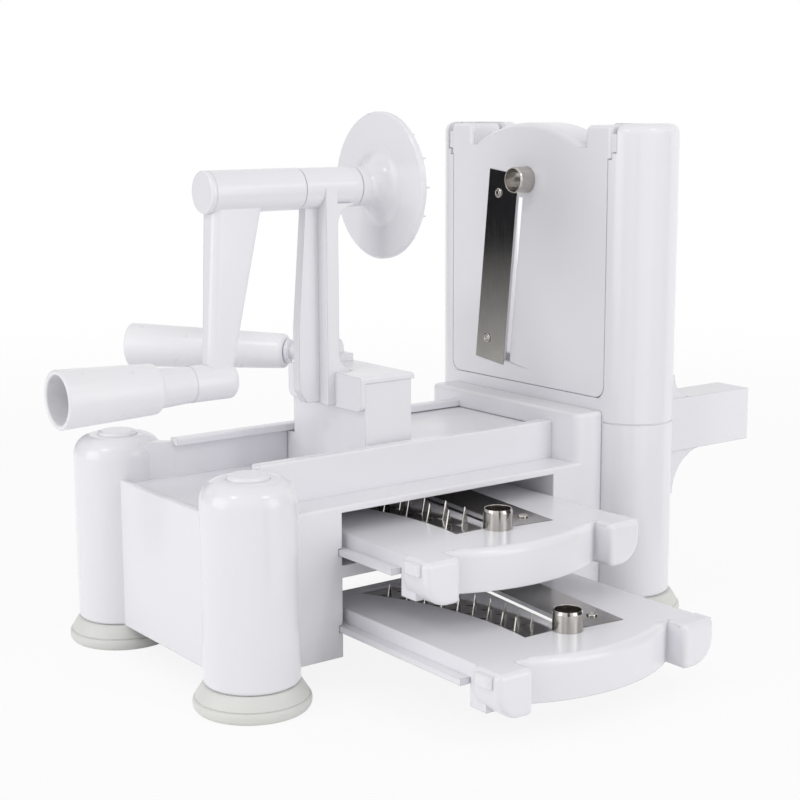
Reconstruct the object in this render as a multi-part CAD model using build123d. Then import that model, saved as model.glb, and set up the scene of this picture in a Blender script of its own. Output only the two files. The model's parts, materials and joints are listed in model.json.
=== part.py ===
from build123d import *
import math
import os

os.makedirs("parts", exist_ok=True)

# Hand-cranked spiralizer, millimetres, +Z up, +X from the crank end to the blade end.
# The near side, where the cartridges pull out, is -Y.
# Working frame: X = 0 at the crank-end leg axes, Y = 0 on the slide's centre line, Z = 0 on the table.

# ---------------------------------------------------------------- driving dimensions
RUN = 0.05                # radial clearance of a turning fit
OVER = 1.0                # how far a cut or a joined piece runs past a face
NEAR = 1.0                # reach when an edge is picked by its place
HAIR = 0.02               # gap between pieces that are screwed together
PLAY = 0.3                # clearance beside a sliding or loose fit

# feet, legs and columns
LEG_Y = 60.0              # leg and column axes from the centre line
LEG_R = 21.1
LEG_TOP = 100.8
LEG_ROUND = 9.0
LEG_FOOT_ROUND = 2.0       # lower edge of legs and columns
COLUMN_X = 226.0          # column axes
COLUMN_R = 20.0
ARCH_ABOVE_COLUMN = 0.2   # arched end stands this much above the columns
COLUMN_ROUND = 5.0
COLUMN_SEAM_Z = 100.0
SEAM_HALF = 0.3            # half height and depth of the column's seam line
SEAM_DEPTH = 0.35
COLUMN_ROOF = 20.7         # thickness at the top of a column
SHELL = 3.0               # wall of legs, columns and base
FOOT_HEIGHT = 11.3
FOOT_RIM_R = 26.0
FOOT_RING_R = 23.5
FOOT_RIM_Z = 5.6
FOOT_LIP = 3.6            # width of the flat ring that rests on the table
CUP_DEPTH = 5.0
CUP_SLOPE = 4.0            # width of the cup's sloping wall
FOOT_RIM_EDGE = 1.4        # rim's lower edge, inwards
FOOT_RIM_RISE = 1.6
FOOT_RIM_FALL = 1.2        # rim's upper edge below the ring
FOOT_CHAMFER = 1.0
STEM_R = 6.0
STEM_HEIGHT = 7.0
CAP_R = 9.4
CAP_PROUD = 1.8
CAP_SUNK = 0.5             # cap's lower face below the leg's top
CAP_ROUND = 1.2
CAP_STEM = 6.0
SCREW_R = 2.0
SCREW_HEAD_R = 4.0
SCREW_HEAD = 2.4
SCREW_ROUND = 0.8
SCREW_BITE = 1.5           # thread of a post screw in the cover
WASHER_THICK = 1.2
WASHER_WIDE = 3.0          # washer beyond a foot's stem

# base body
BODY_X0 = -8.9            # face of the end wall
BODY_Y = 59.1
DECK_Z = 81.0
DECK_SKIN = 3.0
END_WALL_TOP = 82.4
RAIL_Y = 40.2             # outer face of a rail
RAIL_WALL = 3.2
RAIL_TOP = 100.0
LIP_REACH = 3.2
LIP_THICK = 3.5
RAIL_X0 = 18.0            # where the lips start
RAIL_ROUND = 0.8
DECK_ROUND = 1.2           # upper edges of the near and far walls
BRIDGE_ROUND = 2.0
FRAME_GAP = 0.2            # between base and blade frame
SLIDE_GAP = 0.5            # beside the slide in the bridge
LEG_ROOF = 9.0             # thickness at the top of a leg
WEB_TOP = 98.2             # top of the web from a rail to a leg
WEB_MIDDLE = (8.5, 39.0)   # points of that web's curve
WEB_END = (-4.0, 44.5)
WEB_LEG_X = 6.0
WEB_LEG_Y = 54.0
BLOCK_X0 = 189.8          # bridge block
BLOCK_TOP = 105.5
BLOCK_ROUND = 5.0
BAY_X0 = 48.4
BAY_X1 = 174.1
BAY_WALL = 6.0
SHELF_Z0 = 48.1
SHELF_Z1 = 53.8

# carriage
CARRIAGE_X0 = 82.0        # crank-end edge of the slide and its box at rest
SLIDE_X1 = 200.0
SLIDE_Y = 36.5
SLIDE_TOP = 96.0
SLIDE_SKIN = 2.5
BOX_X1 = 109.8
BOX_Y = 30.3
COVER_TOP = 131.4
COVER_THICK = 3.0
COVER_WIDE = 0.5           # cover beyond the box on each side
COVER_ROUND = 1.4
BOX_ROUND = 2.0
FOOT_PLATE_ROUND = 4.0
FOOT_PLATE_X0 = 79.4
FOOT_PLATE_Z0 = 115.0
FLANGE_X0 = 75.5          # post flange, thickness along X
FLANGE_X1 = 82.0
FLANGE_Y = 9.7
WEB_Y = 2.6
WEB_X0_LOW = 64.2
WEB_X0_HIGH = 68.4
WEB_KNEE_Z = 152.0
WEB_HIGH_Z = 205.7
WEB_Z0 = 117.0
WEB_CUT = 4.0              # cut lower corner of the web
WEB_CUT_RISE = 6.0
SHAFT_Z = 217.7
TUBE_X0 = 65.5
TUBE_X1 = 96.9
TUBE_R = 9.5
SPINDLE_R = 5.0
POST_FILLET = 9.0
TUBE_BITE = 1.5            # how far the upper web runs into the tube

# feed handle
HANDLE_X = 94.0           # root of the pin
HANDLE_Y = 31.0
HANDLE_Z = 135.0
HANDLE_ANGLE = 127.0      # direction in the XY plane, degrees from +X
HANDLE_PIN_R = 3.65
HANDLE_PIN_OUT = 14.0     # bare pin between the boss and the grip
HANDLE_BOSS_R = 7.0
BOSS_LENGTH = 14.0
PIN_SEAT = 10.0            # pin's length inside the boss
PEDESTAL_BACK = 4.0        # pedestal's start in front of the boss's inner end
COLLAR_STEP = 2.2          # collar's or washer's radius over the pin's
COLLAR_THICK = 2.0
NECK_STEP = 0.3
FEED_GRIP_LENGTH = 84.0
FEED_GRIP_R0 = 8.6
FEED_GRIP_R1 = 11.2

# crank
HUB_X0 = 18.0
HUB_X1 = 65.1
HUB_R = 9.7
HUB_CAP_THICK = 2.6
CRANK_RADIUS = 85.7
ARM_TOP_SETBACK = 0.6      # arm's edge behind the hub's outer face
ARM_TOP_X1 = 44.5
ARM_LOW_X0 = 14.4
ARM_LOW_X1 = 26.0
ARM_TOP_Y = 6.4           # half thickness at the hub
ARM_LOW_Y = 4.85          # half thickness at the boss
BOSS_X0 = 6.6
BOSS_X1 = 29.0
BOSS_R = 8.35
STEM_X0 = -10.8
STEM_OUTER_R = 9.3
STEM_STEP = 0.2            # stem's inner end under the boss
ARM_BACK_ROUND = 1.5       # arm's edges on the side of the post
ARM_FRONT_ROUND = 3.8      # arm's edges on the outer side
BOSS_ROUND = 3.0
CAP_PEG = 4.0
GRIP_LENGTH = 47.0
GRIP_R0 = 11.4
GRIP_R1 = 13.15
GRIP_BORE_R = 10.85
GRIP_LIP_ROUND = 0.9
GRIP_END_ROUND = 1.2
SEAT_STEP = 0.25           # washer's seat beyond the grip's solid end
PIN_STEP = 0.2             # pin's end beyond the grip's solid end
THREAD_DEPTH = 7.0
GRIP_WEB = 8.0            # solid end of a grip that runs on its pin
SPIGOT_R = 5.0

# spiked disc
DISC_HUB_X0 = 97.3
DISC_X0 = 111.8
DISC_THICK = 3.4
DISC_R = 35.0
DISC_NECK_R = 9.4
DISC_FLOOR = 3.0           # from the spindle's end to the disc
DISC_SCREW_IN = 11.0
DISC_SINK = 2.2            # depth of the screw's countersunk head
DISC_EDGE = 0.8
FLARE_START = 0.35         # where the neck opens out, as a share of the hub
FLARE_MIDDLE = 0.8
FLARE_MIDDLE_OUT = 3.6
FLARE_OUT = 10.0
SPIKE_R = 1.3
SPIKE_TIP_R = 0.25
SPIKE_LENGTH = 4.2
SPIKE_RING_R = 31.0
SPIKE_COUNT = 14
SPIKE_INNER_RING_R = 15.0
SPIKE_INNER_COUNT = 6

# blade frame
FRAME_X0 = 206.0
WINDOW_Y = 59.9
WINDOW_Z0 = 111.7
WINDOW_ROUND = 6.0
FRAME_WALL = 3.0
FRAME_SCREW_IN = 6.0       # length of a frame screw past the base's wall
HEAD_POCKET = 0.5          # around a screw's head
EXIT_Y = 46.0             # half width of the exit window in the back wall
EXIT_Z0 = 124.0           # the exit window is open to the top
EXIT_ROUND = 12.0
ARM_X1 = 300.0            # hold-down arm
ARM_Y0 = -72.0
ARM_Y1 = -51.0
ARM_Z0 = 82.4
ARM_Z1 = 109.4
ARM_WALL = 2.6
GUSSET_TOP = 12.0
GUSSET_LOW = 22.0
ARM_ROOT = 4.0             # arm's start inside the column's wall
ARM_ROUND = 2.0
ARM_FACE_Y = 8.0           # where the gussets leave the column, from its axis

# cartridges, in their own frame: face at Z = 0, ring axis at X = Y = 0, the arched end at +Y
PLATE_TAIL = 105.7        # ring axis to the straight end
PLATE_THICK = 6.6
PLATE_CORNER_R = 6.0
PLATE_SKIN = 2.6
PLATE_RIM = 2.6
TONGUE_Y = 64.5           # half width of the thin tongue that runs in the grooves
TONGUE_THICK = 2.8
TONGUE_TAIL = 107.6
END_CAP_DEPTH = 19.0
END_CAP_START = 7.0
ARCH_TOP = 28.9
ARCH_R = 85.0
ARCH_HALF = 43.0
ARCH_ROUND = 3.5
ARCH_WALL = 3.0            # wall around the hollow in the arched end
ARCH_BACK = 14.5           # that hollow's end below the arch's top
TONGUE_SHORT = 6.4         # tongue's end, from the ring's axis
RING_BOSS = 3.0            # plate around the coring ring
FACE_WIDE = 70.0
EAR_X0 = 43.6
EAR_X1 = 62.0
EAR_START = 12.0
EAR_END = 28.0
EAR_DEPTH = 20.2
EAR_CURVE = 12.0           # outer lower corner of an ear
EAR_ROUND = 2.5            # other edges of an ear
EAR_TAB_OUT = 2.6          # small tab at the ear's outer side
EAR_TAB_DROP = 1.0
EAR_TAB_THICK = 5.4
EAR_TAB_START = 15.0
EAR_TAB_END = 24.0
EAR_TAB_ROUND = 1.0
RING_R = 6.7
RING_WALL = 0.8
RING_HEIGHT = 9.3
BLADE_WIDTH = 22.8
BLADE_LENGTH = 101.0
BLADE_THICK = 0.8
BLADE_TILT = 6.2
BLADE_END_X = -17.35      # middle of the blade's end beside the ring
BLADE_END_Y = 3.5
SLOT_WIDTH = 2.6
RAMP_WIDTH = 24.0
RAMP_DEPTH = 2.4
SLOT_END = 2.0             # slot's end from the blade's end
SLOT_FROM_RING = 4.5
SLOT_UNDER = 1.2           # slot's edge under the blade
BLADE_PROUD = 0.2          # blade's upper face above the plate's face
BLADE_BEVEL = 2.5
EDGE_THICK = 0.15
SEAT_GAP = 0.2             # around an inlaid blade or comb
RIVET_R = 2.5
RIVET_DOME = 0.9
RIVET_STEP = 0.9           # head's radius over the shank's hole
RIVET_X = -3.0             # from the blade's centre line
RIVET_FROM_END = 11.5
COMB_WIDTH = 18.5
COMB_BEND_R = 150.0        # the comb's centre line is a gentle arc
COMB_X = 10.8              # centre line at the bend's middle
COMB_BEND_Y = -24.0
COMB_Y0 = -100.0
COMB_Y1 = -3.0
COMB_THICK = 0.8
COMB_SINK = 1.2            # comb's upper face below the plate's face
COARSE_TEETH = 6           # teeth in each of two rows
COARSE_PITCH = 14.2
COARSE_ROW_GAP = 9.4
COARSE_TOOTH_WIDTH = 7.6
COARSE_TOOTH_HEIGHT = 7.6
FINE_TEETH = 9             # teeth in each of two rows
FINE_PITCH = 9.1
FINE_ROW_GAP = 9.4
FINE_TOOTH_WIDTH = 4.6
FINE_TOOTH_HEIGHT = 4.6
TOOTH_TURN = 28.0          # the teeth stand askew to the comb
TOOTH_FIRST_Y = -16.0      # first coarse tooth
TOOTH_THICK = 0.7
TOOTH_GRIND = 0.7          # ground share of a tooth's thickness
WINDOW_SHARE = 0.7         # window's width as a share of the tooth's
WINDOW_LENGTH = 0.5       # window's length as a share of the pitch

# places of the stored cartridges' ring axes and faces
LOWER_RING_Y = -138.8
LOWER_FACE_Z = 32.6
UPPER_RING_Y = -91.8
UPPER_FACE_Z = 68.0

# ---------------------------------------------------------------- derived sizes
COLUMN_TOP = SHAFT_Z + ARCH_TOP - ARCH_ABOVE_COLUMN
BAY_X = (BAY_X0 + BAY_X1) / 2
TUBE_BORE_R = SPINDLE_R + RUN
TONGUE_Z1 = -PLATE_THICK                      # tongue's upper face in the cartridge frame
TONGUE_Z0 = TONGUE_Z1 - TONGUE_THICK
HANDLE_RAD = math.radians(HANDLE_ANGLE)
HANDLE_DIR = (math.cos(HANDLE_RAD), math.sin(HANDLE_RAD), 0)
HANDLE_END_Y = (HANDLE_Y + HANDLE_DIR[1] * (HANDLE_PIN_OUT + FEED_GRIP_LENGTH)
                + abs(HANDLE_DIR[0]) * FEED_GRIP_R1)
GRIP_X1 = STEM_X0 - PLAY                      # inner end of the crank grip
GRIP_X0 = GRIP_X1 - GRIP_LENGTH
X_MIDDLE = (GRIP_X0 + ARM_X1) / 2
Y_MIDDLE = (LOWER_RING_Y - ARCH_TOP + HANDLE_END_Y) / 2
TO_ORIGIN = Location((-X_MIDDLE, -Y_MIDDLE, 0))


# ---------------------------------------------------------------- helpers
def block(x0, x1, y0, y1, z0, z1):
    """Box between two corners."""
    return Pos((x0 + x1) / 2, (y0 + y1) / 2, (z0 + z1) / 2) * Box(x1 - x0, y1 - y0, z1 - z0)


def rod_z(x, y, z0, z1, radius):
    """Upright cylinder."""
    return Pos(x, y, (z0 + z1) / 2) * Cylinder(radius, z1 - z0)


def rod_x(x0, x1, radius, y=0.0, z=0.0):
    """Cylinder along X."""
    return Pos((x0 + x1) / 2, y, z) * Rot(0, 90, 0) * Cylinder(radius, x1 - x0)


def cone_x(x0, x1, radius0, radius1, y=0.0, z=0.0):
    """Frustum along X, radius0 at x0 and radius1 at x1."""
    return Pos((x0 + x1) / 2, y, z) * Rot(0, 90, 0) * Cone(radius0, radius1, x1 - x0)


def prism_xz(points, y0, y1):
    """Polygon in the XZ plane carried from y0 to y1."""
    face = make_face(Polyline([Vector(x, y0, z) for x, z in points], close=True))
    return extrude(face, amount=y1 - y0, dir=(0, 1, 0))


def turned(points):
    """Closed profile of radius and height turned about the Z axis."""
    face = make_face(Polyline([Vector(r, 0, z) for r, z in points], close=True))
    return revolve(face, Axis.Z)


def edges_at(shape, axis, value):
    """Edges whose centre lies at a place along an axis."""
    return shape.edges().filter_by(lambda e: abs(getattr(e.center(), axis) - value) < 0.01)


def write(name, shape):
    """Moves a piece to the part's frame and writes it."""
    solids = [s for s in shape.solids()]
    moved = [TO_ORIGIN * s for s in solids]
    piece = moved[0] if len(moved) == 1 else Compound(children=moved)
    piece.label = name
    export_step(piece, f"parts/{name}.step")


# ---------------------------------------------------------------- feet and caps
def suction_foot(x, y):
    """Rubber cup with a flat rim, a ring above it and a stem that enters the leg."""
    lip_outer = FOOT_RIM_R - FOOT_RIM_EDGE
    lip_inner = lip_outer - FOOT_LIP
    foot = turned([
        (0, CUP_DEPTH), (lip_inner - CUP_SLOPE, CUP_DEPTH - FOOT_CHAMFER), (lip_inner, 0), (lip_outer, 0),
        (FOOT_RIM_R, FOOT_RIM_RISE), (FOOT_RIM_R, FOOT_RIM_Z - FOOT_RIM_FALL), (FOOT_RING_R, FOOT_RIM_Z),
        (FOOT_RING_R, FOOT_HEIGHT - FOOT_CHAMFER), (FOOT_RING_R - FOOT_CHAMFER, FOOT_HEIGHT),
        (STEM_R, FOOT_HEIGHT),
        (STEM_R, FOOT_HEIGHT + STEM_HEIGHT), (0, FOOT_HEIGHT + STEM_HEIGHT)])
    pilot = rod_z(0, 0, FOOT_HEIGHT - 2, FOOT_HEIGHT + STEM_HEIGHT + OVER, SCREW_R + RUN)
    return Pos(x, y, 0) * (foot - pilot)


def foot_screw(x, y):
    """Pan-head screw that holds a foot's stem from inside the leg."""
    top = FOOT_HEIGHT + STEM_HEIGHT
    seat = top + WASHER_THICK
    shank = rod_z(x, y, FOOT_HEIGHT - OVER, seat, SCREW_R)
    washer = rod_z(x, y, top + HAIR, seat, STEM_R + WASHER_WIDE)
    head = rod_z(x, y, seat, seat + SCREW_HEAD, SCREW_HEAD_R)
    head = chamfer(edges_at(head, "Z", seat + SCREW_HEAD), SCREW_ROUND)
    return shank + washer + head


def leg_cap(y):
    """Round plug in the top of a crank-end leg."""
    top = LEG_TOP + CAP_PROUD
    disc = rod_z(0, y, LEG_TOP - CAP_SUNK, top, CAP_R)
    disc = fillet(edges_at(disc, "Z", top), CAP_ROUND)
    return disc + rod_z(0, y, LEG_TOP - CAP_STEM, LEG_TOP, STEM_R - PLAY)


def leg_foot_floor(x, y, radius):
    """Floor of a leg or column with the hole for the foot's stem."""
    floor = rod_z(x, y, FOOT_HEIGHT, FOOT_HEIGHT + SHELL, radius)
    return floor - rod_z(x, y, FOOT_HEIGHT - OVER, FOOT_HEIGHT + SHELL + OVER, STEM_R + RUN)


# ---------------------------------------------------------------- base body
def leg(y):
    """Hollow round leg with a rounded top and a socket for its cap."""
    shape = rod_z(0, y, FOOT_HEIGHT, LEG_TOP, LEG_R)
    shape = fillet(edges_at(shape, "Z", FOOT_HEIGHT), LEG_FOOT_ROUND)
    return fillet(edges_at(shape, "Z", LEG_TOP), LEG_ROUND)


def rail_gusset(side):
    """Curved web that carries a rail's inner wall out to the leg."""
    inner_y = RAIL_Y - RAIL_WALL
    end_x = RAIL_X0 + OVER / 2
    start = (end_x, inner_y)
    curve = ThreePointArc(start, WEB_MIDDLE, WEB_END)
    rest = Polyline(WEB_END, (WEB_END[0], WEB_LEG_Y), (WEB_LEG_X, WEB_LEG_Y), (end_x, RAIL_Y), start)
    face = make_face(curve + rest)
    web = extrude(face, amount=WEB_TOP - (DECK_Z - OVER))
    web = Pos(0, 0, DECK_Z - OVER) * web
    return web if side > 0 else mirror(web, Plane.XZ)


def bay_wall(x0, groove_x0, groove_x1):
    """Side wall of the cartridge bays with a groove for each cartridge's tongue."""
    wall = block(x0, x0 + BAY_WALL, -BODY_Y, BODY_Y - OVER, FOOT_HEIGHT, DECK_Z - OVER)
    for face_z in (LOWER_FACE_Z, UPPER_FACE_Z):
        wall -= block(groove_x0, groove_x1, -BODY_Y - OVER, BODY_Y - SHELL,
                      face_z + TONGUE_Z0 - PLAY, face_z + TONGUE_Z1 + PLAY)
    return wall


def base_body():
    """Tray, rails, end wall, legs, cartridge bays and bridge block in one moulding."""
    back_x = FRAME_X0 - FRAME_GAP
    shell = block(BODY_X0, back_x, -BODY_Y, BODY_Y, FOOT_HEIGHT, DECK_Z)
    shell -= block(BODY_X0 + SHELL, FRAME_X0 - SHELL, -BODY_Y + SHELL, BODY_Y - SHELL,
                   FOOT_HEIGHT - OVER, DECK_Z - DECK_SKIN)
    legs = [leg(-LEG_Y), leg(LEG_Y)]
    body = shell + legs
    wall_y = LEG_Y - LEG_R + SHELL + OVER
    body += block(BODY_X0, BODY_X0 + SHELL, -wall_y, wall_y, DECK_Z - OVER, END_WALL_TOP)
    for side in (-1, 1):
        outer = side * RAIL_Y
        inner = side * (RAIL_Y - RAIL_WALL)
        lip = side * (RAIL_Y - RAIL_WALL - LIP_REACH)
        body += block(RAIL_X0, BLOCK_X0 + OVER, min(inner, outer), max(inner, outer), DECK_Z - OVER, RAIL_TOP)
        body += block(RAIL_X0, BLOCK_X0 + OVER, min(lip, outer), max(lip, outer),
                      RAIL_TOP - LIP_THICK, RAIL_TOP)
        body += rail_gusset(side)
    bridge = block(BLOCK_X0, back_x, -BODY_Y, BODY_Y, DECK_Z - OVER, BLOCK_TOP)
    corners = bridge.edges().filter_by(Axis.Z).filter_by(lambda e: e.center().X < BLOCK_X0 + NEAR)
    bridge = fillet(corners, BLOCK_ROUND)
    bridge = fillet(edges_at(bridge, "Z", BLOCK_TOP).filter_by(lambda e: e.center().X < FRAME_X0 - NEAR),
                    BRIDGE_ROUND)
    body += bridge
    body -= block(BLOCK_X0 - OVER, FRAME_X0 + OVER, -SLIDE_Y - SLIDE_GAP, SLIDE_Y + SLIDE_GAP,
                  DECK_Z, SLIDE_TOP + PLAY)
    for side in (-1, 1):
        body -= rod_z(0, side * LEG_Y, FOOT_HEIGHT - OVER, LEG_TOP - LEG_ROOF, LEG_R - SHELL)
        body += leg_foot_floor(0, side * LEG_Y, LEG_R - SHELL + OVER / 2)
        body -= rod_z(0, side * LEG_Y, LEG_TOP - CAP_SUNK, LEG_TOP + OVER, CAP_R + 2 * RUN)
        body -= rod_z(0, side * LEG_Y, LEG_TOP - LEG_ROOF - OVER, LEG_TOP, STEM_R)
    groove_depth = TONGUE_Y + PLAY
    body += bay_wall(BAY_X0 - BAY_WALL, BAY_X - groove_depth, BAY_X0 + OVER)
    body += bay_wall(BAY_X1, BAY_X1 - OVER, BAY_X + groove_depth)
    body -= block(BAY_X0, BAY_X1, -BODY_Y - OVER, -BODY_Y + SHELL + OVER, FOOT_HEIGHT - OVER, DECK_Z - DECK_SKIN)
    for face_z in (LOWER_FACE_Z, UPPER_FACE_Z):
        body -= block(BAY_X - groove_depth, BAY_X + groove_depth, -BODY_Y - OVER, -BODY_Y + SHELL + OVER,
                      face_z + TONGUE_Z0 - PLAY, face_z + TONGUE_Z1 + PLAY)
    body += block(BAY_X0 - OVER, BAY_X1 + OVER, -BODY_Y, BODY_Y - OVER, SHELF_Z0, SHELF_Z1)
    for y, z in FRAME_SCREWS:
        body -= rod_x(FRAME_X0 - SHELL - FRAME_SCREW_IN - OVER, FRAME_X0 + OVER, SCREW_R + RUN, y, z)
    return round_base(body)


def round_base(body):
    """Rounds the long edges of the rails, of the walls beside the deck and of the end wall."""
    rails = edges_at(body, "Z", RAIL_TOP).filter_by(Axis.X).filter_by(lambda e: e.length > BAY_X1 - BAY_X0)
    body = fillet(rails, RAIL_ROUND)
    walls = edges_at(body, "Z", DECK_Z).filter_by(Axis.X)
    body = fillet(walls.filter_by(lambda e: abs(e.center().Y) > BODY_Y - NEAR), DECK_ROUND)
    end = edges_at(body, "Z", END_WALL_TOP).filter_by(Axis.Y)
    return fillet(end.filter_by(lambda e: e.center().X < BODY_X0 + NEAR), RAIL_ROUND)


# ---------------------------------------------------------------- blade frame
FRAME_SCREWS = [(-50.0, 30.0), (50.0, 30.0), (-50.0, 70.0), (50.0, 70.0)]


def column(side):
    """Hollow round column with a rounded top and a shallow seam line."""
    y = side * LEG_Y
    shape = rod_z(COLUMN_X, y, FOOT_HEIGHT, COLUMN_TOP, COLUMN_R)
    shape = fillet(edges_at(shape, "Z", COLUMN_TOP), COLUMN_ROUND)
    shape = fillet(edges_at(shape, "Z", FOOT_HEIGHT), LEG_FOOT_ROUND)
    ring = rod_z(COLUMN_X, y, COLUMN_SEAM_Z - SEAM_HALF, COLUMN_SEAM_Z + SEAM_HALF, COLUMN_R + OVER)
    ring -= rod_z(COLUMN_X, y, COLUMN_SEAM_Z - OVER, COLUMN_SEAM_Z + OVER, COLUMN_R - SEAM_DEPTH)
    return shape - ring


def hold_down_arm():
    """Square hollow arm at the back of the near column, open below, with curved gussets."""
    root_x = COLUMN_X + COLUMN_R - ARM_ROOT
    bar = block(root_x, ARM_X1, ARM_Y0, ARM_Y1, ARM_Z0, ARM_Z1)
    bar = fillet(bar.edges().filter_by(lambda e: e.center().X > ARM_X1 - NEAR), ARM_ROUND)
    face_x = COLUMN_X + math.sqrt(COLUMN_R ** 2 - ARM_FACE_Y ** 2)
    upper = prism_xz([(root_x, ARM_Z1 - OVER), (face_x + GUSSET_TOP, ARM_Z1 - OVER),
                      (face_x + GUSSET_TOP, ARM_Z1), (face_x, ARM_Z1 + GUSSET_TOP),
                      (root_x, ARM_Z1 + GUSSET_TOP)], ARM_Y0 + OVER, ARM_Y1 - OVER)
    bend = Rot(90, 0, 0) * Cylinder(GUSSET_TOP, LEG_Y)
    upper -= Pos(face_x + GUSSET_TOP, -LEG_Y, ARM_Z1 + GUSSET_TOP) * bend
    lower = prism_xz([(root_x, ARM_Z0 + OVER), (face_x + GUSSET_LOW, ARM_Z0 + OVER),
                      (face_x + GUSSET_LOW, ARM_Z0), (face_x, ARM_Z0 - GUSSET_LOW),
                      (root_x, ARM_Z0 - GUSSET_LOW)], ARM_Y0 + OVER, ARM_Y1 - OVER)
    sweep_out = Rot(90, 0, 0) * Cylinder(GUSSET_LOW, LEG_Y)
    lower -= Pos(face_x + GUSSET_LOW, -LEG_Y, ARM_Z0 - GUSSET_LOW) * sweep_out
    arm = bar + upper + lower
    return arm - block(face_x + GUSSET_LOW + ARM_ROUND, ARM_X1 - ARM_WALL, ARM_Y0 + ARM_WALL, ARM_Y1 - ARM_WALL,
                       ARM_Z0 - OVER, ARM_Z1 - ARM_WALL)


def blade_frame():
    """Two columns, the walls between them, the cartridge window and the hold-down arm."""
    frame = column(-1) + column(1)
    groove_x0 = FRAME_X0 + PLATE_THICK - PLAY
    groove_x1 = FRAME_X0 + PLATE_THICK + TONGUE_THICK + PLAY
    back_x1 = groove_x1 + FRAME_WALL
    frame += block(FRAME_X0, FRAME_X0 + FRAME_WALL, -LEG_Y, LEG_Y, FOOT_HEIGHT, WINDOW_Z0)
    sill_z = BLOCK_TOP - 2 * OVER
    open_z = COLUMN_TOP + 5 * OVER
    frame += block(FRAME_X0, back_x1, -LEG_Y, LEG_Y, sill_z, WINDOW_Z0)
    frame += block(groove_x1, back_x1, -LEG_Y, LEG_Y, sill_z, SHAFT_Z + END_CAP_START - OVER)
    frame += hold_down_arm()
    window = block(FRAME_X0 - OVER, groove_x0 + OVER / 2, -WINDOW_Y, WINDOW_Y, WINDOW_Z0, open_z)
    corners = window.edges().filter_by(Axis.X).filter_by(lambda e: e.center().Z < WINDOW_Z0 + NEAR)
    frame -= fillet(corners, WINDOW_ROUND)
    frame -= block(groove_x0, groove_x1, -TONGUE_Y - PLAY, TONGUE_Y + PLAY,
                   SHAFT_Z - TONGUE_TAIL - PLAY, open_z)
    frame -= block(FRAME_X0 - OVER, FRAME_X0 + END_CAP_DEPTH + PLAY, -WINDOW_Y, WINDOW_Y,
                   SHAFT_Z + END_CAP_START - PLAY, open_z)
    frame -= block(FRAME_X0 - OVER, FRAME_X0 + EAR_DEPTH + PLAY, -EAR_X1 - PLAY, EAR_X1 + PLAY,
                   SHAFT_Z + EAR_START - PLAY, open_z)
    tab_y = EAR_X1 + EAR_TAB_OUT + PLAY
    frame -= block(FRAME_X0 - OVER, FRAME_X0 + EAR_TAB_DROP + EAR_TAB_THICK + PLAY, -tab_y, tab_y,
                   SHAFT_Z + EAR_TAB_START - PLAY, open_z)
    exit_window = block(groove_x1 - OVER, back_x1 + OVER, -EXIT_Y, EXIT_Y, EXIT_Z0, COLUMN_TOP)
    corners = exit_window.edges().filter_by(Axis.X).filter_by(lambda e: e.center().Z < EXIT_Z0 + NEAR)
    frame -= fillet(corners, EXIT_ROUND)
    frame -= block(FRAME_X0 - OVER, back_x1 + OVER, -SLIDE_Y - SLIDE_GAP, SLIDE_Y + SLIDE_GAP,
                   DECK_Z, SLIDE_TOP + PLAY)
    for side in (-1, 1):
        y = side * LEG_Y
        inside = COLUMN_R - SHELL
        low_z = BLOCK_TOP - COLUMN_ROUND
        frame -= rod_z(COLUMN_X, y, FOOT_HEIGHT - OVER, low_z, inside)
        high = rod_z(COLUMN_X, y, low_z, COLUMN_TOP - COLUMN_ROOF, inside)
        frame -= high & block(back_x1, COLUMN_X + COLUMN_R, y - COLUMN_R, y + COLUMN_R, 0, COLUMN_TOP)
        frame += leg_foot_floor(COLUMN_X, y, inside + OVER / 2)
    wall_x = FRAME_X0 + FRAME_WALL
    for y, z in FRAME_SCREWS:
        frame -= rod_x(FRAME_X0 - OVER, wall_x + OVER, SCREW_R + RUN, y, z)
        frame -= rod_x(wall_x, wall_x + SCREW_HEAD + OVER, SCREW_HEAD_R + HEAD_POCKET, y, z)
    return frame


def frame_screws():
    """Screws from inside the frame into the base's end wall."""
    group = []
    for y, z in FRAME_SCREWS:
        wall_x = FRAME_X0 + FRAME_WALL
        shank = rod_x(FRAME_X0 - SHELL - FRAME_SCREW_IN, wall_x + OVER / 2, SCREW_R, y, z)
        head = rod_x(wall_x + HAIR, wall_x + SCREW_HEAD, SCREW_HEAD_R, y, z)
        group.append(shank + head)
    return Compound(children=group)


# ---------------------------------------------------------------- carriage
def carriage_slide():
    """Plate that runs under the rail lips, with the box that carries the post."""
    plate = block(CARRIAGE_X0, SLIDE_X1, -SLIDE_Y, SLIDE_Y, DECK_Z + PLAY, SLIDE_TOP)
    plate -= block(CARRIAGE_X0 + SLIDE_SKIN, SLIDE_X1 - SLIDE_SKIN, -SLIDE_Y + SLIDE_SKIN,
                   SLIDE_Y - SLIDE_SKIN, DECK_Z - OVER, SLIDE_TOP - SLIDE_SKIN)
    top = COVER_TOP - COVER_THICK - HAIR
    box = block(CARRIAGE_X0, BOX_X1, -BOX_Y, BOX_Y, SLIDE_TOP - OVER, top)
    upright = box.edges().filter_by(Axis.Z).filter_by(lambda e: e.center().X > BOX_X1 - NEAR)
    box = fillet(upright, BOX_ROUND)
    slide = plate + box
    slide -= block(CARRIAGE_X0 + SLIDE_SKIN, BOX_X1 - SLIDE_SKIN, -BOX_Y + SLIDE_SKIN, BOX_Y - SLIDE_SKIN,
                   DECK_Z - OVER, top - SLIDE_SKIN)
    for y in POST_SCREW_Y:
        slide -= rod_z(POST_SCREW_X, y, top - SLIDE_SKIN - OVER, top + OVER, SCREW_R + RUN)
    return slide


POST_SCREW_X = (CARRIAGE_X0 + BOX_X1) / 2
POST_SCREW_Y = (-18.0, 18.0)


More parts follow.
